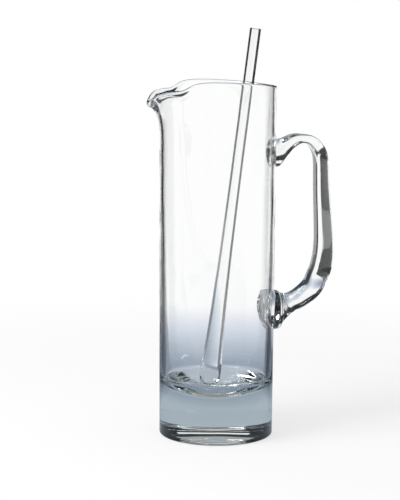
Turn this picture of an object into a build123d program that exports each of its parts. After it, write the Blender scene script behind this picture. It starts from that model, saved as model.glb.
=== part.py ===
from build123d import *
import math
import os

# A tall hand-blown glass cocktail pitcher: a thick-based vessel with a pulled spout, a strap
# handle of solid glass that is applied hot to its wall, and a loose glass stirrer that stands
# inside and leans on the rim. Millimetres, +Z up. The origin is on the vessel's axis, on the
# surface that it stands on. The spout points along -X and the handle along +X.

# Vessel
rim_height = 280.0  # crest of the rim above the table
base_radius = 45.0  # outside, at the foot
rim_radius = 45.9  # outside, at the rim
base_thickness = 31.5  # solid glass under the middle of the cavity
rim_wall = 3.0  # wall from the rim down to where the spout starts
low_wall = 5.2  # wall where its line would meet the cavity's floor
floor_rise = 14.0  # how far the cavity's bowl-shaped floor climbs from its middle to the wall
floor_corner_radius = 6.0  # rounding between that bowl and the wall
heel_bevel = 1.2  # polished bevel of the foot's outer edge
punt_radius = 27.0  # ground and polished hollow under the base
punt_depth = 4.0
lip_bevel = 0.7  # each edge of the rim, eased in the fire

# Rim and spout
spout_reach = 11.5  # the lip's tip past the wall
spout_drop = 16.5  # the lip's tip below the crest
spout_height = 30.0  # stretch of wall under the lip that bends outwards
spout_half_angle = 75.0  # where the pulled stretch of rim starts, each side of the tip
spout_sharpness = 2.5  # power of the cosine that gathers the pull towards the tip
spout_curl = 4.0  # power that gathers the outward bend towards the lip
spout_lift = 1.6  # inner bend above the outer one, which keeps the bent wall as thick
crest_offset = 10.0  # the rim's highest point, from the axis towards the spout
handle_side_dip = 3.6  # rim on the handle's side below the crest

# Handle
handle_top_drop = 56.2  # middle of the upper pad below the rim's crest
handle_low_height = 99.0  # middle of the lower pad above the table
handle_reach = 40.0  # from the wall to the middle of the grip
crown_rise = 11.2  # middle of the arched top above the upper pad's middle
sweep_height = 54.5  # where the grip starts to bend inwards, above the lower pad's middle
crown_thickness = 7.2
grip_thickness = 10.8
sweep_thickness = 15.4  # thickest part of the lower bend
grip_width = 20.0
upper_pad_width = 25.0
upper_pad_length = 21.8
lower_pad_width = 43.0
lower_pad_length = 30.0
strap_edge_share = 0.27  # rounding of the strap's edges, as a share of its thickness
pad_edge_share = 0.46  # the same at the pads, which are nearly oval
strap_edge_flats = 3  # flats that each rounded edge of the strap is drawn with
pad_root = 1.0  # how far a pad is drawn past the round wall before it is cut to it

# Stirrer
stirrer_stand = 38.0  # its flat end above the rim's crest
rod_diameter = 9.0
paddle_width = 17.0
paddle_thickness = 9.0
paddle_height = 20.0  # where the paddle is widest, above its end
paddle_flat_length = 60.0  # stretch that is pressed flat
paddle_end_length = 8.0  # rounded stretch at the end
taper_length = 55.0  # over which the swelling towards the paddle falls to about a third
rod_end_bevel = 0.5  # of the cut upper end
stirrer_foot_x = -3.6  # where the stirrer stands in the cavity
stirrer_foot_y = 15.8
stirrer_bearing = 41.3  # where it leans on the rim, in degrees from +X towards +Y
paddle_bearing = -9.0  # the paddle's width, in degrees from +X towards +Y
clearance = 0.3  # between the stirrer and the vessel

# The straight wall ends a little below the lowest point of the pulled stretch.
straight_margin = 3.0
spout_start = rim_height - spout_drop - spout_height - straight_margin


def outer_radius(z):
    """Outside of the vessel's straight wall, which opens a little towards the rim."""
    return base_radius + (rim_radius - base_radius) * z / rim_height


def rim_line(x):
    """Height of the rim over X: two arcs that meet at the crest and fall to spout and handle."""
    run = x + crest_offset
    if run < 0:
        drop, reach = spout_drop, rim_radius + spout_reach - crest_offset
    else:
        drop, reach = handle_side_dip, rim_radius + crest_offset
    bend = (reach**2 + drop**2) / (2 * drop)
    return rim_height - bend + math.sqrt(bend**2 - run**2)


def pull(angle):
    """Share of the spout's reach at an angle from its tip."""
    turn = 90 * min(abs(angle) / spout_half_angle, 1)
    return math.cos(math.radians(turn)) ** spout_sharpness


def bend_out(angle, z):
    """How far the pulled wall stands out at a height. Above the lip, where it is cut, it levels off."""
    lip_x = -(rim_radius + spout_reach * pull(angle)) * math.cos(math.radians(angle))
    depth = (rim_line(lip_x) - z) / spout_height
    if depth >= 0:
        growth = max(1 - depth, 0) ** spout_curl
    else:
        level = 0.35
        growth = 1 + level * (1 - math.exp(depth * spout_curl / level))
    return spout_reach * pull(angle) * growth


def spout_slice(radius, z):
    """Level slice through the pulled stretch: one smooth closed curve that starts at the handle's side."""
    steps = 24
    points = []
    for step in range(steps):
        turn = 360 * step / steps
        points.append(Vector(radius + bend_out(turn - 180, z), 0).rotate(Axis.Z, turn))
    evenly = [step / steps for step in range(steps + 1)]
    return make_face(Edge.make_spline(points, periodic=True, parameters=evenly))


def pulled_stretch(inset, lift):
    """Filled upper vessel, from the straight wall to a little above the crest."""
    levels = (0.08, 0.22, 0.36, 0.46, 0.55, 0.64, 0.74, 0.86, 1.06)
    sections = [Plane.XY.offset(spout_start) * Circle(outer_radius(spout_start) - inset)]
    for level in levels:
        z = spout_start + level * (rim_height - spout_start)
        sections.append(Plane.XY.offset(z) * spout_slice(outer_radius(z) - inset, z - lift))
    return loft(sections)


def straight_stretch():
    """Filled lower vessel, with its heel bevelled."""
    profile = make_face(
        Polyline(
            (0, 0),
            (base_radius, 0),
            (outer_radius(spout_start), spout_start),
            (0, spout_start),
            close=True,
        )
    )
    heel = profile.vertices().sort_by_distance((base_radius, 0))[0]
    return revolve(Plane.XZ * chamfer(heel, heel_bevel), Axis.Z)


def cavity_profile():
    """Half section of the hollow below the spout: a bowl for a floor and a wall that thins upwards."""
    top = Vector(outer_radius(spout_start) - rim_wall, spout_start)
    foot = Vector(outer_radius(base_thickness) - low_wall, base_thickness + floor_rise)
    wall = TangentArc(top, foot, tangent=(base_radius - rim_radius, -rim_height))
    bowl = TangentArc((0, base_thickness), foot, tangent=(1, 0))
    axis = Polyline((0, base_thickness), (0, spout_start), top)
    profile = make_face([wall, bowl, axis])
    return fillet(profile.vertices().sort_by_distance(foot)[0], floor_corner_radius)


def above_rim():
    """Everything above the rim's line, to be cut away in one sweep."""
    tip = -(rim_radius + 1.2 * spout_reach)
    back = 1.2 * rim_radius
    steps = 12
    places = [tip + (back - tip) * step / steps for step in range(steps + 1)]
    line = [(x, rim_line(x)) for x in places]
    far = -(rim_radius + 3 * spout_reach)
    top = rim_height + 2 * spout_drop
    around = Polyline(line[-1], (back, top), (far, top), (far, rim_line(tip)), line[0])
    side = Plane.XZ.offset(-2 * rim_radius)
    return extrude(side * make_face([Spline(*line), around]), 4 * rim_radius)


def make_pitcher_body(outside):
    """The vessel: hollowed, cut to the rim's line, its lip eased and its base ground hollow."""
    body = outside - revolve(Plane.XZ * cavity_profile(), Axis.Z)
    body -= pulled_stretch(rim_wall, spout_lift)
    body -= above_rim()
    rim_face = body.faces().sort_by(Axis.Z)[-1]
    widest_bevel = 0.45 * rim_wall
    body = chamfer(rim_face.edges(), min(lip_bevel, widest_bevel))
    ball_radius = (punt_radius**2 + punt_depth**2) / (2 * punt_depth)
    return body - Pos(0, 0, punt_depth - ball_radius) * Sphere(ball_radius)


def pad_start(width):
    """Where a pad of this width starts inside the round wall, so that it meets it all over."""
    sagitta = base_radius - math.sqrt(base_radius**2 - (width / 2) ** 2)
    return -(sagitta + pad_root) / handle_reach


def handle_stations():
    """Slices along the strap: share of its reach, height, heading, thickness, width and ovalness."""
    top = rim_height - handle_top_drop
    low = handle_low_height
    shoulder = low + sweep_height
    grip = top - shoulder
    return [
        (pad_start(upper_pad_width), top, 0, upper_pad_length, upper_pad_width, 1),
        (0.06, top, 0, upper_pad_length, upper_pad_width, 1),
        (0.19, top + 0.42 * crown_rise, 7, 0.66 * upper_pad_length, 0.92 * upper_pad_width, 0.8),
        (0.34, top + 0.82 * crown_rise, 6, 1.35 * crown_thickness, 1.06 * grip_width, 0.5),
        (0.51, top + crown_rise, 0, crown_thickness, grip_width, 0.3),
        (0.70, top + 0.85 * crown_rise, -26, 1.1 * crown_thickness, grip_width, 0.1),
        (0.84, top + 0.31 * crown_rise, -52, 1.25 * crown_thickness, grip_width, 0),
        (0.912, top - 0.46 * crown_rise, -83, 0.86 * grip_thickness, grip_width, 0),
        (0.942, shoulder + 0.57 * grip, -88, grip_thickness, grip_width, 0),
        (0.992, shoulder, -90, 0.81 * sweep_thickness, 1.04 * grip_width, 0),
        (0.96, low + 0.667 * sweep_height, -97, 0.92 * sweep_thickness, 1.08 * grip_width, 0),
        (0.89, low + 0.486 * sweep_height, -108, sweep_thickness, 1.1 * grip_width, 0),
        (0.76, low + 0.305 * sweep_height, -126, sweep_thickness, 1.12 * grip_width, 0.2),
        (0.515, low + 0.157 * sweep_height, -147, 0.93 * sweep_thickness, 1.15 * grip_width, 0.4),
        (0.317, low + 0.09 * sweep_height, -168, 0.5 * lower_pad_length, 0.66 * lower_pad_width, 0.7),
        (0.17, low + 0.034 * sweep_height, -177, 0.77 * lower_pad_length, 0.84 * lower_pad_width, 0.9),
        (0.07, low, -180, lower_pad_length, lower_pad_width, 1),
        (pad_start(lower_pad_width), low, -180, lower_pad_length, lower_pad_width, 1),
    ]


def strap_slice(width, thickness, rounding):
    """Slice of the strap: a rectangle whose rounded corners are drawn with a few flats each."""
    points = []
    for quarter, (right, up) in enumerate(((1, 1), (-1, 1), (-1, -1), (1, -1))):
        centre = Vector(right * (width / 2 - rounding), up * (thickness / 2 - rounding))
        for step in range(strap_edge_flats + 1):
            turn = 90 * (quarter + step / strap_edge_flats)
            points.append(centre + Vector(rounding, 0).rotate(Axis.Z, turn))
    return make_face(Polyline(*points, close=True))


def make_handle(outside):
    """The handle: a strap lofted through its slices and cut where the vessel's wall is."""
    sections = []
    for out, z, heading, thickness, width, ovalness in handle_stations():
        turn = math.radians(heading)
        plane = Plane(
            origin=(outer_radius(z) + out * handle_reach, 0, z),
            x_dir=(0, 1, 0),
            z_dir=(math.cos(turn), 0, math.sin(turn)),
        )
        share = strap_edge_share + (pad_edge_share - strap_edge_share) * ovalness
        sections.append(plane * strap_slice(width, thickness, share * thickness))
    return loft(sections) - outside


def stirrer_size(along):
    """Width and thickness of the stirrer at a distance from its paddle's end."""
    swelling = math.exp(-max(along - paddle_height, 0) / taper_length)
    width = rod_diameter + (paddle_width - rod_diameter) * swelling
    pressed = max(1 - along / paddle_flat_length, 0) ** 2
    return width, width - (paddle_width - paddle_thickness) * pressed


def paddle_slices():
    """Slices up the pressed stretch: distance from the end, half width and half thickness."""
    slices = []
    for rounding in (20, 45, 68):
        along = paddle_end_length * (1 - math.cos(math.radians(rounding)))
        width, thickness = stirrer_size(along)
        shrink = math.sin(math.radians(rounding)) / 2
        slices.append((along, shrink * width, shrink * thickness))
    count = 9
    for step in range(count):
        along = paddle_end_length + (paddle_flat_length - paddle_end_length) * step / (count - 1)
        width, thickness = stirrer_size(along)
        slices.append((along, width / 2, thickness / 2))
    return slices


def upright_stirrer(length):
    """The stirrer on +Z: a pressed paddle, and above it a round rod that is drawn thinner."""
    slices = [Plane.XY.offset(along) * Ellipse(wide, thick) for along, wide, thick in paddle_slices()]
    paddle = loft(slices)
    count = 6
    edge = []
    for step in range(count + 1):
        along = paddle_flat_length + (length - paddle_flat_length) * step / count
        edge.append((stirrer_size(along)[0] / 2, along))
    outline = [Spline(*edge), Polyline(edge[-1], (0, length), (0, paddle_flat_length), edge[0])]
    rod = revolve(Plane.XZ * make_face(outline), Axis.Z)
    rod = chamfer(rod.edges().group_by(Axis.Z)[-1], rod_end_bevel)
    return paddle + rod


def floor_arcs():
    """The arcs of the cavity's floor in its half section: the corner to the wall, then the bowl."""
    arcs = cavity_profile().edges().filter_by(GeomType.CIRCLE)
    return arcs.sort_by(SortBy.RADIUS)[:2]


def floor_height(arcs, radius):
    """Height of the cavity's floor at a distance from the axis."""
    corner, bowl = arcs
    corner_start = min(end.X for end in corner.vertices())
    arc = corner if radius > corner_start else bowl
    across = min(radius - arc.arc_center.X, arc.radius)
    return arc.arc_center.Y - math.sqrt(arc.radius**2 - across**2)


def make_stirrer():
    """The stirrer, laid from its foot to the rim and then raised until its paddle clears the floor."""
    foot = Vector(stirrer_foot_x, stirrer_foot_y, base_thickness)
    bearing = Vector(1, 0).rotate(Axis.Z, stirrer_bearing)
    wall = rim_radius - rim_wall
    rest_height = rim_line(wall * bearing.X)
    slope = bearing * wall + Vector(0, 0, rest_height) - foot
    half_rod = rod_diameter / 2 * slope.length / slope.Z
    rest = bearing * (wall - clearance - half_rod) + Vector(0, 0, rest_height)
    along = (rest - foot).normalized()
    length = (rim_height + stirrer_stand - base_thickness) / along.Z
    across = Vector(1, 0).rotate(Axis.Z, paddle_bearing)
    plane = Plane(origin=foot, x_dir=across - along * across.dot(along), z_dir=along)
    arcs = floor_arcs()
    lift = 0
    for height, wide, thick in paddle_slices():
        for degrees in range(0, 360, 15):
            turn = math.radians(degrees)
            spot = plane.from_local_coords((wide * math.cos(turn), thick * math.sin(turn), height))
            floor = floor_height(arcs, math.hypot(spot.X, spot.Y))
            lift = max(lift, floor + clearance - spot.Z)
    return (plane * upright_stirrer(length)).translate((0, 0, lift))


outside = straight_stretch() + pulled_stretch(0, 0)
parts = {
    "pitcher_body": make_pitcher_body(outside),
    "handle": make_handle(outside),
    "stirrer": make_stirrer(),
}
os.makedirs("parts", exist_ok=True)
for name, solid in parts.items():
    export_step(solid, f"parts/{name}.step")
    print(name, round(solid.volume), "cubic mm")
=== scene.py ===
# %% [markdown]
# # A hand-blown cocktail pitcher
# The pitcher is three pieces of clear glass: a thick-based vessel with a pulled spout, a strap
# handle that was stuck on hot, and a loose stirrer. Glass shows almost nothing of itself. What the
# eye reads is the room, bent by the glass, so the shapes have to be smooth and the room has to be
# set up with care. First the measured model is loaded. It says where everything is.

# %% Load the measured frame
import math

import bmesh
import bpy
from mathutils import Matrix, Vector


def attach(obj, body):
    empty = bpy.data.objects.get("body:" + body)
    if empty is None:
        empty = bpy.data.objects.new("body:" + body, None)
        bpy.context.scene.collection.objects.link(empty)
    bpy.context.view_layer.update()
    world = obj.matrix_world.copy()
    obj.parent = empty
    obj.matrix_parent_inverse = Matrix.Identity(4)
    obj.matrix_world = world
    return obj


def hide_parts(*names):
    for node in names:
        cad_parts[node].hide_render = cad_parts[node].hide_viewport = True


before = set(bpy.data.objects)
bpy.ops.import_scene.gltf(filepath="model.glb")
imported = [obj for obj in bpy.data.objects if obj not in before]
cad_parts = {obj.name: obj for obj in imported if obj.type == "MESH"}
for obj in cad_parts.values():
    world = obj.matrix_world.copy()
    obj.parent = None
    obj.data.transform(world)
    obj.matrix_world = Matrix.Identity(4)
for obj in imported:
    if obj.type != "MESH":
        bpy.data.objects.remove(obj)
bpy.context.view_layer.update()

scene = bpy.context.scene
MM = 0.001

# %% [markdown]
# ## Camera
# The photographer stood a little over a metre away, a hand above the rim and slightly to the
# spout's side. The eye stays at that place and looks down by eight degrees. A long lens keeps the
# walls nearly parallel. The aim is a little left of the axis, because the handle fills the right.

# %% Camera
eye_distance = 1237 * MM
eye_height = 320 * MM
eye_turn = math.radians(-9)
aim_left = 13.4 * MM
aim_height = 147 * MM
eye_roll = math.radians(0.35)

eye = Vector((eye_distance * math.sin(eye_turn), -eye_distance * math.cos(eye_turn), eye_height))
aim = Vector((-aim_left * math.cos(eye_turn), -aim_left * math.sin(eye_turn), aim_height))
camera_data = bpy.data.cameras.new("photo_camera")
camera_data.sensor_fit = "VERTICAL"
camera_data.sensor_height = 24
camera_data.lens = 76.03
camera = bpy.data.objects.new("photo_camera", camera_data)
scene.collection.objects.link(camera)
facing = (aim - eye).to_track_quat("-Z", "Y").to_matrix().to_4x4()
camera.matrix_world = Matrix.Translation(eye) @ facing @ Matrix.Rotation(eye_roll, 4, "Z")
scene.camera = camera
print("camera at", [round(c, 3) for c in eye])

# %% [markdown]
# ## Half section of the vessel
# A blown vessel is round, so half of its section says it all: out along the ground hollow, up the
# outside, over the lip, down the inside and back to the axis. It could be typed in as a list of
# points, but a pen is clearer: one point is extruded for a straight run and spun for an arc, with
# the radii of the real glass.

# %% A pen for sections
def run_to(bm, tip, radius, height, steps):
    """Draws a straight run from the pen's tip."""
    start, end = tip.co.copy(), Vector((radius, 0, height))
    for step in range(1, steps + 1):
        tip = bmesh.ops.extrude_vert_indiv(bm, verts=[tip])["verts"][0]
        tip.co = start.lerp(end, step / steps)
    return tip


def swing(bm, tip, radius, height, degrees, steps):
    """Draws an arc about a centre. A positive turn is to the left."""
    made = bmesh.ops.spin(
        bm, geom=[tip], cent=(radius, 0, height), axis=(0, -1, 0), dvec=(0, 0, 0),
        angle=math.radians(degrees), steps=steps, use_merge=False, use_duplicate=False,
    )
    return made["geom_last"][0]


# %% Sizes of the vessel, in millimetres
rim_height = 280.0
base_radius = 45.0
rim_radius = 45.9
rim_wall = 3.0
low_wall = 5.2
foot_height = 45.5
corner_top = 48.37
floor_corner = 6.0
bowl_radius = 63.86
heel_round = 2.0
punt_radius = 27.0
punt_depth = 4.0
bend_start = 230.5

lean = (rim_radius - base_radius) / rim_height
lip_round = rim_wall / 2
lip_centre = rim_height - lip_round


def outer_radius(z):
    """Outside of the straight wall, which opens a little towards the rim."""
    return base_radius + lean * z


print("vessel", rim_height, "mm high and", 2 * base_radius, "mm across its foot")

# %% Draw the outside, from the ground hollow to the lip
vessel = bmesh.new()
pen = vessel.verts.new((0, 0, punt_depth))
ball = (punt_radius**2 + punt_depth**2) / (2 * punt_depth)
half_cap = math.degrees(math.asin(punt_radius / ball))
pen = swing(vessel, pen, 0, punt_depth - ball, -half_cap, steps=20)
pen = run_to(vessel, pen, base_radius - heel_round, 0, steps=6)
pen = swing(vessel, pen, base_radius - heel_round, heel_round, 90, steps=8)
pen = run_to(vessel, pen, outer_radius(bend_start), bend_start, steps=40)
pen = run_to(vessel, pen, outer_radius(lip_centre), lip_centre, steps=48)
pen = swing(vessel, pen, outer_radius(lip_centre) - lip_round, lip_centre, 180, steps=14)
print("outside of", len(vessel.verts), "points")

# %% Draw the inside, from the lip to the middle of the floor
pen = run_to(vessel, pen, outer_radius(bend_start) - rim_wall, bend_start, steps=48)
arc = (bend_start - foot_height) ** 2 / (2 * (low_wall - rim_wall))
fall = (bend_start - corner_top) / arc
centre = Vector((pen.co.x - arc, 0, pen.co.z + arc * lean))
pen = swing(vessel, pen, centre.x, centre.z, -math.degrees(fall), steps=40)
inward = (centre - pen.co).normalized()
corner_centre = pen.co + floor_corner * inward
bowl_turn = math.asin(corner_centre.x / (bowl_radius - floor_corner))
corner_turn = math.acos(-inward.z) - bowl_turn
pen = swing(vessel, pen, corner_centre.x, corner_centre.z, -math.degrees(corner_turn), steps=20)
bowl_centre = corner_centre.z + (bowl_radius - floor_corner) * math.cos(bowl_turn)
pen = swing(vessel, pen, 0, bowl_centre, -math.degrees(bowl_turn), steps=30)
print("section of", len(vessel.verts), "points, floor at", round(pen.co.z, 2), "mm")

# %% [markdown]
# ## Spin the vessel
# Spinning the section round the axis does what the blower's turning pipe does. The first and the
# last row are merged, and so are the points on the axis. Then the normals are made to point out of
# the glass, because light bends the wrong way through a face that is inside out.

# %% Spin
vessel_steps = 240
merge_distance = 0.001
bmesh.ops.spin(
    vessel, geom=vessel.verts[:] + vessel.edges[:], cent=(0, 0, 0), axis=(0, 0, 1), dvec=(0, 0, 0),
    angle=2 * math.pi, steps=vessel_steps, use_merge=True, use_duplicate=False,
)
bmesh.ops.remove_doubles(vessel, verts=vessel.verts[:], dist=merge_distance)
bmesh.ops.recalc_face_normals(vessel, faces=vessel.faces[:])
print("vessel with", len(vessel.faces), "faces")

# %% [markdown]
# ## Pull the spout
# While the rim is soft, the blower pulls the spout outwards with a wooden stick, and the rim sinks
# into a saddle. Beside the spout the pincers leave a dip in the rim and a dent below it, and the
# glass gathers in a thick bead at the tip. Sculpting could give this too, but formulas keep it the
# same on both sides: how high the lip is at an angle from the tip, how far it is pulled out there,
# and how quickly the pull fades below it.

# %% Line of the rim
spout_reach = 12.6
spout_drop = 16.5
spout_half_angle = 75.0
spout_sharpness = 2.5
crest_offset = 10.0
handle_side_dip = 3.6
pinch_angle = 46.0
pinch_half_angle = 9.0
pinch_drop = 2.8
channel_angle = 20.0
channel_half_angle = 10.0
channel_rise = 2.4


def rim_line(x):
    """Height of the rim: two arcs that meet at the crest and fall to the spout and the handle."""
    run = x + crest_offset
    drop, reach = spout_drop, rim_radius + spout_reach - crest_offset
    if run > 0:
        drop, reach = handle_side_dip, rim_radius + crest_offset
    bend = (reach**2 + drop**2) / (2 * drop)
    return rim_height - bend + math.sqrt(bend**2 - run**2)


def pull_at(angle):
    """How much of the pull reaches the rim at this angle from the tip."""
    turn = 90 * min(abs(angle) / spout_half_angle, 1)
    return math.cos(math.radians(turn)) ** spout_sharpness


def pinch_at(angle):
    """1 where the pincers held the rim, on both sides of the spout, and 0 away from there."""
    return math.exp(-((abs(angle) - pinch_angle) / pinch_half_angle) ** 2)


def lip_height(angle):
    """Height of the lip, with the raised sides of the spout and the dips that the pincers leave."""
    x = -(rim_radius + spout_reach * pull_at(angle)) * math.cos(math.radians(angle))
    side = math.exp(-((abs(angle) - channel_angle) / channel_half_angle) ** 2)
    return rim_line(x) + channel_rise * side - pinch_drop * pinch_at(angle)


print("lip at the tip", round(lip_height(0), 1), "mm, beside the handle", round(lip_height(180), 1), "mm")

# %% [markdown]
# ## Bend the wall to the spout
# Each column of points now follows the bent wall. A point keeps its distance from the middle of the
# wall, measured square to the bend, so the wall keeps its thickness and the lip stays round. Only
# the bead adds glass, and only the pincers' dent takes some away from the outside.

# %% Bend the wall
spout_height = 30.0
spout_curl = 4
bend_lift = 0.8
slope_step = 0.2
row_tolerance = 0.01
pinch_dent = 1.3
pinch_depth = 4.5
pinch_height = 2.6
tip_bead = 0.8
bead_height = 9.0


def bent_wall(angle, s):
    """Middle of the wall at a height s of the straight wall, as (radius, height) after the pull."""
    lip = lip_height(angle)
    share = (s - bend_start) / (lip_centre - bend_start)
    height = s - (rim_height - lip) * share * share * (3 - 2 * share)
    depth = (lip - height + bend_lift) / spout_height
    pulled = spout_reach * pull_at(angle) * max(1 - depth, 0) ** spout_curl
    return Vector((outer_radius(s) - lip_round + pulled, height))


for vert in vessel.verts:
    if vert.co.z <= bend_start + row_tolerance:
        continue
    radius = math.hypot(vert.co.x, vert.co.y)
    outward = Vector((vert.co.x, vert.co.y)) / radius
    angle = math.degrees(math.atan2(vert.co.y, -vert.co.x))
    s = min(vert.co.z, lip_centre)
    middle = bent_wall(angle, s)
    along = (middle - bent_wall(angle, s - slope_step)).normalized()
    offset = radius - (outer_radius(s) - lip_round)
    below = lip_height(angle) - middle.y
    bead = 1 + tip_bead * pull_at(angle) * max(1 - below / bead_height, 0) ** 2
    dent = pinch_dent * pinch_at(angle) * math.exp(-((below - pinch_depth) / pinch_height) ** 2)
    offset = offset * bead - (dent if offset > 0 else 0)
    place = middle + along * (vert.co.z - s) * bead + Vector((along.y, -along.x)) * offset
    vert.co = (outward.x * place.x, outward.y * place.x, place.y)
print("spout tip at", round(min(v.co.x for v in vessel.verts), 1), "mm")

# %% [markdown]
# ## Strap handle
# The handle is a gather of hot glass. It is stuck on at the top, pulled out flat like a strap, and
# folded down on to the wall, where it spreads into a wide pad. A curve with a bevel would give it one
# section all the way. Here a closed loop of points is extruded from slice to slice instead, and each
# slice has a section of its own: oval at the pads, squarer at the grip, and there narrower on the
# outside. That taper makes the grip a prism, which is why its face looks dark.

# %% Slices: distance from the axis, height, heading, thickness, width, squareness, taper
strap_slices = [
    (42.9, 223.8, 0, 21.8, 25.0, 2.2, 0.0),
    (48.1, 223.8, 0, 21.8, 25.0, 2.2, 0.0),
    (53.3, 228.5, 7, 14.4, 23.0, 3.5, 0.0),
    (59.3, 233.0, 6, 9.7, 21.2, 6.0, 0.0),
    (66.2, 235.0, 0, 7.2, 20.0, 6.0, 0.0),
    (73.7, 233.3, -26, 7.9, 20.0, 6.0, 0.0),
    (79.3, 227.3, -52, 9.4, 20.0, 6.0, 0.1),
    (82.6, 218.6, -83, 10.6, 20.0, 6.0, 0.6),
    (83.9, 193.6, -88, 12.0, 20.0, 6.0, 0.72),
    (86.1, 153.5, -90, 14.2, 20.8, 6.0, 0.72),
    (84.9, 135.4, -97, 16.2, 21.6, 6.0, 0.78),
    (81.6, 125.5, -108, 16.6, 22.0, 5.0, 0.74),
    (75.8, 115.6, -126, 15.4, 22.4, 4.0, 0.15),
    (65.9, 107.6, -147, 14.3, 22.6, 3.6, 0.0),
    (58.0, 103.9, -168, 15.0, 25.0, 3.0, 0.0),
    (52.1, 100.9, -177, 23.1, 31.0, 2.3, 0.0),
    (48.1, 99.0, -180, 30.0, 43.0, 2.2, 0.0),
    (38.8, 99.0, -180, 30.0, 43.0, 2.2, 0.0),
]
slices_between = 8


def between(rows, row, share):
    """A smooth in-between row, on a curve that passes through all rows."""
    a, b, c, d = (rows[min(max(row + k, 0), len(rows) - 1)] for k in (-1, 0, 1, 2))
    mixed = []
    for p, q, r, s in zip(a, b, c, d):
        bow = (2 * p - 5 * q + 4 * r - s) * share**2 + (3 * q - p - 3 * r + s) * share**3
        mixed.append(q + ((r - p) * share + bow) / 2)
    return mixed


slices = [between(strap_slices, row, step / slices_between)
          for row in range(len(strap_slices) - 1) for step in range(slices_between)]
slices.append(strap_slices[-1])
print("strap drawn in", len(slices), "slices")

# %% Draw the strap
strap_points = 48


def squared(value, power):
    """Pushes a point of a circle out towards the corners of a square."""
    return math.copysign(abs(value) ** (2 / power), value)


def extrude_loop(bm, edges):
    """Extrudes a closed loop and returns the edges and the points of the new one."""
    made = bmesh.ops.extrude_edge_only(bm, edges=edges)["geom"]
    new_points = [v for v in made if isinstance(v, bmesh.types.BMVert)]
    new_edges = [e for e in made if isinstance(e, bmesh.types.BMEdge) and all(v in made for v in e.verts)]
    return new_edges, new_points


strap = bmesh.new()
loop = bmesh.ops.create_circle(strap, segments=strap_points, radius=1, cap_ends=False)["verts"]
circle = [vert.co.copy() for vert in loop]
edges = strap.edges[:]
ends = []
for number, (x, z, heading, thickness, width, power, taper) in enumerate(slices):
    if number:
        edges, loop = extrude_loop(strap, edges)
    turn = math.radians(heading)
    up = Vector((-math.sin(turn), 0, math.cos(turn)))
    for vert, point in zip(loop, circle):
        over = squared(point.y, power)
        across = squared(point.x, power) * (1 - taper * (1 + over) / 2)
        vert.co = Vector((x, across * width / 2, z)) + up * over * thickness / 2
    if number in (0, len(slices) - 1):
        ends.append(loop)
for end in ends:
    strap.faces.new(end)
bmesh.ops.recalc_face_normals(strap, faces=strap.faces[:])
print("strap with", len(strap.faces), "faces")

# %% [markdown]
# ## Fuse the handle to the vessel
# On the real pitcher the hot strap melts into the wall, so there is no seam inside the glass. Two
# meshes that merely overlap would show one. A Boolean union makes them one skin, which leaves only
# the crease where the pads end, as on the real one.

# %% From a bmesh to an object
def mesh_object(bm, name):
    """Makes an object of a shape drawn in millimetres."""
    bmesh.ops.scale(bm, vec=(MM, MM, MM), verts=bm.verts[:])
    mesh = bpy.data.meshes.new(name)
    bm.to_mesh(mesh)
    bm.free()
    made = bpy.data.objects.new(name, mesh)
    scene.collection.objects.link(made)
    return made


def smooth(made, crease_degrees):
    """Shades a mesh smoothly, but keeps edges that are sharper than this."""
    made.data.polygons.foreach_set("use_smooth", [True] * len(made.data.polygons))
    made.data.set_sharp_from_angle(angle=math.radians(crease_degrees))


plain_vessel = mesh_object(vessel, "plain_vessel")
plain_strap = mesh_object(strap, "plain_strap")
print("to be fused:", plain_vessel.name, "and", plain_strap.name)

# %% Union
union = plain_vessel.modifiers.new("fuse", "BOOLEAN")
union.operation = "UNION"
union.solver = "EXACT"
union.object = plain_strap
depsgraph = bpy.context.evaluated_depsgraph_get()
fused = bpy.data.meshes.new_from_object(plain_vessel.evaluated_get(depsgraph))
pitcher = bpy.data.objects.new("pitcher_glass", fused)
scene.collection.objects.link(pitcher)
bpy.data.objects.remove(plain_vessel)
bpy.data.objects.remove(plain_strap)
smooth(pitcher, crease_degrees=40)
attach(pitcher, "pitcher")
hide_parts("pitcher_body", "handle")
print("pitcher with", len(pitcher.data.polygons), "faces")

# %% [markdown]
# ## Stirrer
# The stirrer is a glass rod. Its foot was heated and pressed into a rounded paddle, and the rod was
# drawn thinner above it. Scaling a cylinder would give a straight taper, but drawn glass thins fast
# at first and then slowly. So a circle is extruded upwards and scaled to an oval at each step. The
# shape is drawn upright and then laid into the vessel, from its foot to the rim.

# %% Sizes of the stirrer, in millimetres
rod_diameter = 9.0
paddle_width = 17.0
paddle_thickness = 9.0
paddle_height = 20.0
paddle_flat = 60.0
paddle_end = 8.0
swelling_length = 55.0
stirrer_length = 289.14
end_bevel = 0.5
paddle_end_turns = range(6, 90, 7)
rod_steps = 90


def stirrer_size(height):
    """Width and thickness at a height above the foot."""
    swelling = math.exp(-max(height - paddle_height, 0) / swelling_length)
    width = rod_diameter + (paddle_width - rod_diameter) * swelling
    pressed = max(1 - height / paddle_flat, 0) ** 2
    return width, width - (paddle_width - paddle_thickness) * pressed


rings = []
for degrees in paddle_end_turns:
    turn = math.radians(degrees)
    height = paddle_end * (1 - math.cos(turn))
    rings.append((height, *(size * math.sin(turn) for size in stirrer_size(height))))
rod_run = stirrer_length - end_bevel - paddle_end
heights = [paddle_end + rod_run * step / rod_steps for step in range(rod_steps + 1)]
rings += [(height, *stirrer_size(height)) for height in heights]
rings.append((stirrer_length, *(size - 2 * end_bevel for size in stirrer_size(stirrer_length))))
print("stirrer drawn in", len(rings), "rings")

# %% Draw the stirrer
rod_points = 48
stirrer_foot = Vector((-3.6, 15.8, 33.91))
stirrer_along = Vector((0.129398, 0.037436, 0.990886))
stirrer_across = Vector((0.979217, -0.16221, -0.121746))

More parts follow.
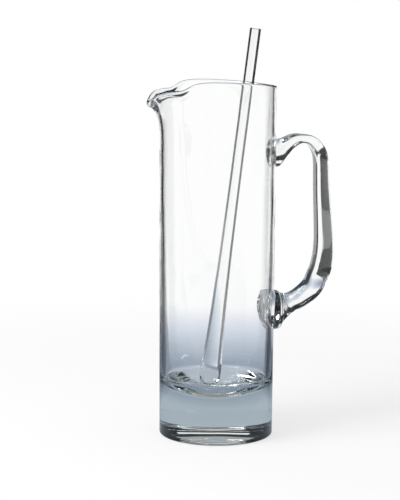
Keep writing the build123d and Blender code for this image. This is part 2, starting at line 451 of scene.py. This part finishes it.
stirrer = bmesh.new()
bmesh.ops.create_circle(stirrer, segments=rod_points, radius=0.5, cap_ends=True, cap_tris=True)
edges = [edge for edge in stirrer.edges if edge.is_boundary]
loop = [vert for vert in stirrer.verts if vert.is_boundary]
circle = [vert.co.copy() for vert in loop]
for number, (height, width, thickness) in enumerate(rings):
    if number:
        edges, loop = extrude_loop(stirrer, edges)
    for vert, point in zip(loop, circle):
        vert.co = (point.x * width, point.y * thickness, height)
stirrer.faces.new(loop)
bmesh.ops.recalc_face_normals(stirrer, faces=stirrer.faces[:])
axes = Matrix((stirrer_across, stirrer_along.cross(stirrer_across), stirrer_along))
pose = Matrix.Translation(stirrer_foot) @ axes.transposed().to_4x4()
bmesh.ops.transform(stirrer, matrix=pose, verts=stirrer.verts[:])
rod = mesh_object(stirrer, "stirrer_glass")
smooth(rod, crease_degrees=30)
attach(rod, "stirrer")
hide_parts("stirrer")
print("stirrer with", len(rod.data.polygons), "faces")

# %% [markdown]
# ## Glass
# Soda-lime glass, blown and fire polished. It bends light with an index of 1.52 and is clear in the
# thin wall, while the thick base shows the cool grey-green of the melt. A tinted surface would colour
# thin and thick glass alike, so the tint is absorption in the volume. A fire-polished skin is never
# flat: it has slow waves from the blowing and fine rings from the turning, and those wrinkle what is
# seen through it.

# %% Helpers for nodes and colours
def linear(hex_colour):
    """An sRGB hex colour as linear RGBA."""
    parts = [int(hex_colour[k:k + 2], 16) / 255 for k in (1, 3, 5)]
    return [c / 12.92 if c <= 0.04045 else ((c + 0.055) / 1.055) ** 2.4 for c in parts] + [1.0]


def add(tree, kind, inputs=None, **settings):
    """Adds a node, sets it up, and links or sets its inputs."""
    made = tree.nodes.new(kind)
    for name, value in settings.items():
        setattr(made, name, value)
    for name, value in (inputs or {}).items():
        if isinstance(value, bpy.types.NodeSocket):
            tree.links.new(value, made.inputs[name])
        else:
            made.inputs[name].default_value = value
    return made


# %% Soda-lime glass
wave_size = 28 * MM
ring_height = 3.5 * MM
ring_length = 167 * MM
speck_size = 9 * MM
speck_from, speck_to = 0.55, 0.8
speck_roughness = 0.02
glass_index = 1.52
melt_tint = "#A5BABA"
melt_density = 4.5


def glass(name, wave_depth, ring_depth):
    """Clear glass: waves and rings that bend the view, faint specks in the polish, a tint in the thick."""
    material = bpy.data.materials.new(name)
    material.use_nodes = True
    tree = material.node_tree
    tree.nodes.clear()
    place = add(tree, "ShaderNodeTexCoord").outputs["Object"]
    waves = add(tree, "ShaderNodeTexNoise", {"Vector": place, "Scale": 1 / wave_size, "Detail": 1.0})
    stretch = (1 / ring_length, 1 / ring_length, 1 / ring_height)
    flat = add(tree, "ShaderNodeMapping", {"Vector": place, "Scale": stretch})
    rings = add(tree, "ShaderNodeTexNoise", {"Vector": flat.outputs["Vector"], "Scale": 1.0, "Detail": 2.0})
    slow = add(tree, "ShaderNodeBump", {
        "Height": waves.outputs["Fac"], "Distance": wave_depth, "Strength": 1.0,
    })
    fine = add(tree, "ShaderNodeBump", {
        "Height": rings.outputs["Fac"], "Distance": ring_depth, "Strength": 1.0,
        "Normal": slow.outputs["Normal"],
    })
    specks = add(tree, "ShaderNodeTexNoise", {"Vector": place, "Scale": 1 / speck_size, "Detail": 3.0})
    polish = add(tree, "ShaderNodeMapRange", {
        "Value": specks.outputs["Fac"], "From Min": speck_from, "From Max": speck_to,
        "To Min": 0.0, "To Max": speck_roughness,
    })
    surface = add(tree, "ShaderNodeBsdfPrincipled", {
        "Base Color": linear("#FFFFFF"), "Roughness": polish.outputs["Result"], "IOR": glass_index,
        "Transmission Weight": 1.0, "Normal": fine.outputs["Normal"],
    })
    inside = add(tree, "ShaderNodeVolumeAbsorption", {"Color": linear(melt_tint), "Density": melt_density})
    add(tree, "ShaderNodeOutputMaterial", {
        "Surface": surface.outputs["BSDF"], "Volume": inside.outputs["Volume"],
    })
    return material


# %% Blown glass for the pitcher, drawn glass for the stirrer
blown_waves, blown_rings = 0.2 * MM, 0.02 * MM
drawn_waves, drawn_rings = 0.1 * MM, 0.004 * MM
pitcher.data.materials.clear()
pitcher.data.materials.append(glass("soda_lime_glass_blown", blown_waves, blown_rings))
rod.data.materials.append(glass("soda_lime_glass_drawn", drawn_waves, drawn_rings))
print("materials", [material.name for material in bpy.data.materials])

# %% [markdown]
# ## White strip, dark sides
# Clear glass is drawn by what it does not show white: its edges bend the view far to the side, and
# come out as dark lines where the studio is dark there. So the glass sees white paper behind the
# object and in front of it, and a dark field on both sides. Flags beside a real set do the same, but
# they would show in the picture. Here only rays that have met the glass see the dark fields, and the
# camera itself sees plain white.

# %% What the glass sees
# Each sector is the bearing of its middle, half of its width and half of its soft edge, in degrees.
backdrop_sector = (78.5, 26.5, 1.5)
front_sector = (-105, 118, 5)


def sector(tree, way, middle_degrees, half_degrees, edge_degrees):
    """1 inside a sector round the upright axis and 0 outside, with a soft edge."""
    turned = add(tree, "ShaderNodeVectorRotate", {"Vector": way, "Angle": math.radians(-middle_degrees)},
                 rotation_type="Z_AXIS").outputs["Vector"]
    at = add(tree, "ShaderNodeSeparateXYZ", {"Vector": turned}).outputs
    bearing = add(tree, "ShaderNodeMath", {0: at["Y"], 1: at["X"]}, operation="ARCTAN2").outputs["Value"]
    off = add(tree, "ShaderNodeMath", {0: bearing}, operation="ABSOLUTE").outputs["Value"]
    return add(tree, "ShaderNodeMapRange", {
        "Value": off, "From Min": math.radians(half_degrees - edge_degrees),
        "From Max": math.radians(half_degrees + edge_degrees), "To Min": 1.0, "To Max": 0.0,
    }, interpolation_type="SMOOTHSTEP").outputs["Result"]


def seen_through_glass(tree):
    """1 for rays that were bent or mirrored by the glass, 0 for the camera's own view."""
    path = add(tree, "ShaderNodeLightPath").outputs
    return add(tree, "ShaderNodeMath", {0: path["Is Glossy Ray"], 1: path["Is Transmission Ray"]},
               operation="MAXIMUM").outputs["Value"]


print("white over", 2 * backdrop_sector[1], "degrees behind and", 2 * front_sector[1], "degrees in front")

# %% [markdown]
# ## Floor
# The pitcher stands on a white sweep. Most of its white is its own glow, so that it shows as plain
# white, and the rest is lit, so that it still takes a soft shadow. Towards its edge the lit share
# fades out, and the floor melts into the white behind it. A lit floor alone would turn grey there.

# %% Sheet of the floor, a hair below the glass so that the base can mirror
floor_radius = 2.2
floor_gap = 0.1
sheet = bmesh.new()
bmesh.ops.create_circle(sheet, segments=128, radius=floor_radius / MM, cap_ends=True)
bmesh.ops.translate(sheet, vec=(0, 0, -floor_gap), verts=sheet.verts[:])
floor = mesh_object(sheet, "white_sweep")
print("floor radius", floor_radius, "m")

# %% White paper, as the camera sees it
lit_near, lit_far = 0.25, 0.7
lit_most = 0.35
grain_size = 2 * MM
grain_depth = 0.05 * MM
paper = bpy.data.materials.new("white_paper_sweep")
paper.use_nodes = True
tree = paper.node_tree
tree.nodes.clear()
spot = add(tree, "ShaderNodeTexCoord").outputs["Object"]
far = add(tree, "ShaderNodeVectorMath", {0: spot}, operation="LENGTH").outputs["Value"]
lit_share = add(tree, "ShaderNodeMapRange", {
    "Value": far, "From Min": lit_near, "From Max": lit_far, "To Min": lit_most, "To Max": 0.0,
}, interpolation_type="SMOOTHSTEP").outputs["Result"]
grain = add(tree, "ShaderNodeTexNoise", {"Vector": spot, "Scale": 1 / grain_size, "Detail": 4.0})
tooth = add(tree, "ShaderNodeBump", {
    "Height": grain.outputs["Fac"], "Distance": grain_depth,
}).outputs["Normal"]
glow = add(tree, "ShaderNodeEmission", {"Color": linear("#FFFFFF"), "Strength": 1.0}).outputs["Emission"]
matt = add(tree, "ShaderNodeBsdfDiffuse", {"Color": linear("#FFFFFF"), "Normal": tooth}).outputs["BSDF"]
plain_paper = add(tree, "ShaderNodeMixShader", {"Fac": lit_share, 1: glow, 2: matt}).outputs["Shader"]
print("paper lit by up to", lit_most, "near the foot")

# %% [markdown]
# ## Floor through the glass
# Low in the cavity the glass looks at the floor close behind the object, and the thick base at the
# floor next to it. In the photograph these places are cool greys that pale upwards, so the glass sees
# the floor in rings of painted shade: a painted contact shadow under the foot, paler grey round it,
# a darker ring of painted shadow further out, then white. Beyond that it sees the white strip and
# the dark fields beside it.
# A Color Ramp over the distance is the short way to several tones. One Map Range for each would be
# long.

# %% Painted shade near the foot, as the glass sees the floor
ramp_length = 0.6
# Painted shade that only the glass sees: a painted contact shadow under the foot out to 42 mm, paler grey
# out to 11 cm, a darker ring of painted shadow from 17 to 24 cm, then paling to white at 53 cm.
painted_shade_tones = (
    (0.0, "#8C99A8"), (0.042, "#8C99A8"), (0.052, "#B8C3CE"), (0.11, "#B8C3CE"),
    (0.17, "#97A3B3"), (0.24, "#97A3B3"), (0.38, "#D2DAE6"), (0.53, "#FFFFFF"),
)
along_ramp = add(tree, "ShaderNodeMath", {0: far, 1: ramp_length}, operation="DIVIDE").outputs["Value"]
painted_shade_ramp = add(tree, "ShaderNodeValToRGB", {"Fac": along_ramp})
stops = painted_shade_ramp.color_ramp.elements
stops.remove(stops[1])
(first_radius, first_colour), *other_tones = painted_shade_tones
stops[0].position = first_radius / ramp_length
stops[0].color = linear(first_colour)
for radius, colour in other_tones:
    stops.new(radius / ramp_length).color = linear(colour)
print("floor in", len(stops), "tones")

# %% Dark fields beside the strip
strip_half_width = 0.52
strip_edge = 0.03
near_side_dark = 0.85
near_side_from, near_side_to = 0.07, 0.16
dark_paper = "#101316"
to_right = Vector((math.cos(eye_turn), math.sin(eye_turn), 0))
aside = add(tree, "ShaderNodeVectorMath", {0: spot, 1: to_right}, operation="DOT_PRODUCT").outputs["Value"]
off = add(tree, "ShaderNodeMath", {0: aside}, operation="ABSOLUTE").outputs["Value"]
near_side = add(tree, "ShaderNodeMapRange", {
    "Value": off, "From Min": near_side_from, "From Max": near_side_to, "To Max": near_side_dark,
}).outputs["Result"]
far_side = add(tree, "ShaderNodeMapRange", {
    "Value": off, "From Min": strip_half_width - strip_edge, "From Max": strip_half_width + strip_edge,
}).outputs["Result"]
beside = add(tree, "ShaderNodeMath", {0: near_side, 1: far_side}, operation="MAXIMUM").outputs["Value"]
sectors = {0: sector(tree, spot, *backdrop_sector), 1: sector(tree, spot, *front_sector)}
white = add(tree, "ShaderNodeMath", sectors, operation="MAXIMUM").outputs["Value"]
dark = add(tree, "ShaderNodeMath", {0: beside, 1: white},
           operation="SUBTRACT", use_clamp=True).outputs["Value"]
# The painted shade near the foot, with the dark fields beside the strip, as the glass sees the floor.
tones = add(tree, "ShaderNodeMix", {"Factor": dark, "A": painted_shade_ramp.outputs["Color"], "B": linear(dark_paper)},
            data_type="RGBA").outputs["Result"]
shaded = add(tree, "ShaderNodeEmission", {"Color": tones, "Strength": 1.0}).outputs["Emission"]
views = {"Fac": seen_through_glass(tree), 1: plain_paper, 2: shaded}
seen = add(tree, "ShaderNodeMixShader", views).outputs["Shader"]
add(tree, "ShaderNodeOutputMaterial", {"Surface": seen})
floor.data.materials.append(paper)
print("strip of", 2 * strip_half_width, "m, in", len(tree.nodes), "nodes")

# %% [markdown]
# ## Room
# The world stands for the rest of the studio. To the glass it is white behind the object and in front
# of it up to the horizon, then comes a dark band, behind the object white again higher up, and a soft
# light overhead. The dark band is what the thick base mirrors as its dark heel, and the higher white
# fills the arch of the handle. Real cards would do as well, but each would cast light of its own.

# %% Bands of the room
# Each band turns from dark to white between two elevations, in degrees.
room_edges = {"low": (6, 2), "high": (17, 20), "below_top": (31, 28), "overhead": (40, 50)}
world = bpy.data.worlds.new("studio")
scene.world = world
world.use_nodes = True
tree = world.node_tree
tree.nodes.clear()
way = add(tree, "ShaderNodeTexCoord").outputs["Generated"]
rise = add(tree, "ShaderNodeSeparateXYZ", {"Vector": way}).outputs["Z"]
band = {}
for name, (dark_from, white_from) in room_edges.items():
    band[name] = add(tree, "ShaderNodeMapRange", {
        "Value": rise, "From Min": math.sin(math.radians(dark_from)),
        "From Max": math.sin(math.radians(white_from)),
    }, interpolation_type="SMOOTHSTEP").outputs["Result"]
print("room in", len(band), "bands")

# %% Room, as the glass and the camera see it
overhead_level = 0.5
dark_level = 0.006
sky_level = 0.6
high = add(tree, "ShaderNodeMath", {0: band["high"], 1: band["below_top"]},
           operation="MULTIPLY").outputs["Value"]
tall = add(tree, "ShaderNodeMath", {0: band["low"], 1: high}, operation="MAXIMUM").outputs["Value"]
behind = add(tree, "ShaderNodeMath", {0: sector(tree, way, *backdrop_sector), 1: tall},
             operation="MULTIPLY").outputs["Value"]
in_front = add(tree, "ShaderNodeMath", {0: sector(tree, way, *front_sector), 1: band["low"]},
               operation="MULTIPLY").outputs["Value"]
backdrop = add(tree, "ShaderNodeMath", {0: behind, 1: in_front}, operation="MAXIMUM").outputs["Value"]
overhead = add(tree, "ShaderNodeMath", {0: band["overhead"], 1: overhead_level},
               operation="MULTIPLY").outputs["Value"]
bright = add(tree, "ShaderNodeMath", {0: backdrop, 1: overhead}, operation="MAXIMUM").outputs["Value"]
seen_by_glass = add(tree, "ShaderNodeMath", {0: bright, 1: dark_level}, operation="MAXIMUM").outputs["Value"]
from_camera = add(tree, "ShaderNodeLightPath").outputs["Is Camera Ray"]
plain = add(tree, "ShaderNodeMapRange", {
    "Value": from_camera, "To Min": sky_level, "To Max": 1.0,
}).outputs["Result"]
level = add(tree, "ShaderNodeMix", {"Factor": seen_through_glass(tree), "A": plain, "B": seen_by_glass})
sky = add(tree, "ShaderNodeBackground", {"Color": linear("#FFFFFF"), "Strength": level.outputs["Result"]})
add(tree, "ShaderNodeOutputWorld", {"Surface": sky.outputs["Background"]})
print("room in", len(tree.nodes), "nodes")

# %% [markdown]
# ## Lamp
# One large soft lamp hangs to the upper left. It gives the floor its soft shadow to the right and
# adds little else, because the glass is drawn by the room. A small lamp would throw a hard shadow and
# leave bright dots in the glass.

# %% Lamp
lamp_place = Vector((-0.75, -0.35, 1.1))
lamp_data = bpy.data.lights.new("soft_box", "AREA")
lamp_data.shape = "DISK"
lamp_data.size = 0.7
lamp_data.energy = 9.0
lamp = bpy.data.objects.new("soft_box", lamp_data)
scene.collection.objects.link(lamp)
lamp_facing = (-lamp_place).to_track_quat("-Z", "Y").to_matrix().to_4x4()
lamp.matrix_world = Matrix.Translation(lamp_place) @ lamp_facing
print("lamp of", lamp_data.energy, "W at", [round(c, 2) for c in lamp_place])

# %% [markdown]
# ## Light paths
# A ray through the pitcher crosses up to a dozen glass skins, and many more where it is caught in the
# base, so the limits on bounces are raised. The colours are shown as they are, with no film curve.

# %% Light paths and view
scene.view_settings.view_transform = "Standard"
scene.cycles.max_bounces = 32
scene.cycles.transmission_bounces = 32
scene.cycles.glossy_bounces = 16
scene.cycles.transparent_max_bounces = 16
print("light followed through", scene.cycles.max_bounces, "bounces")
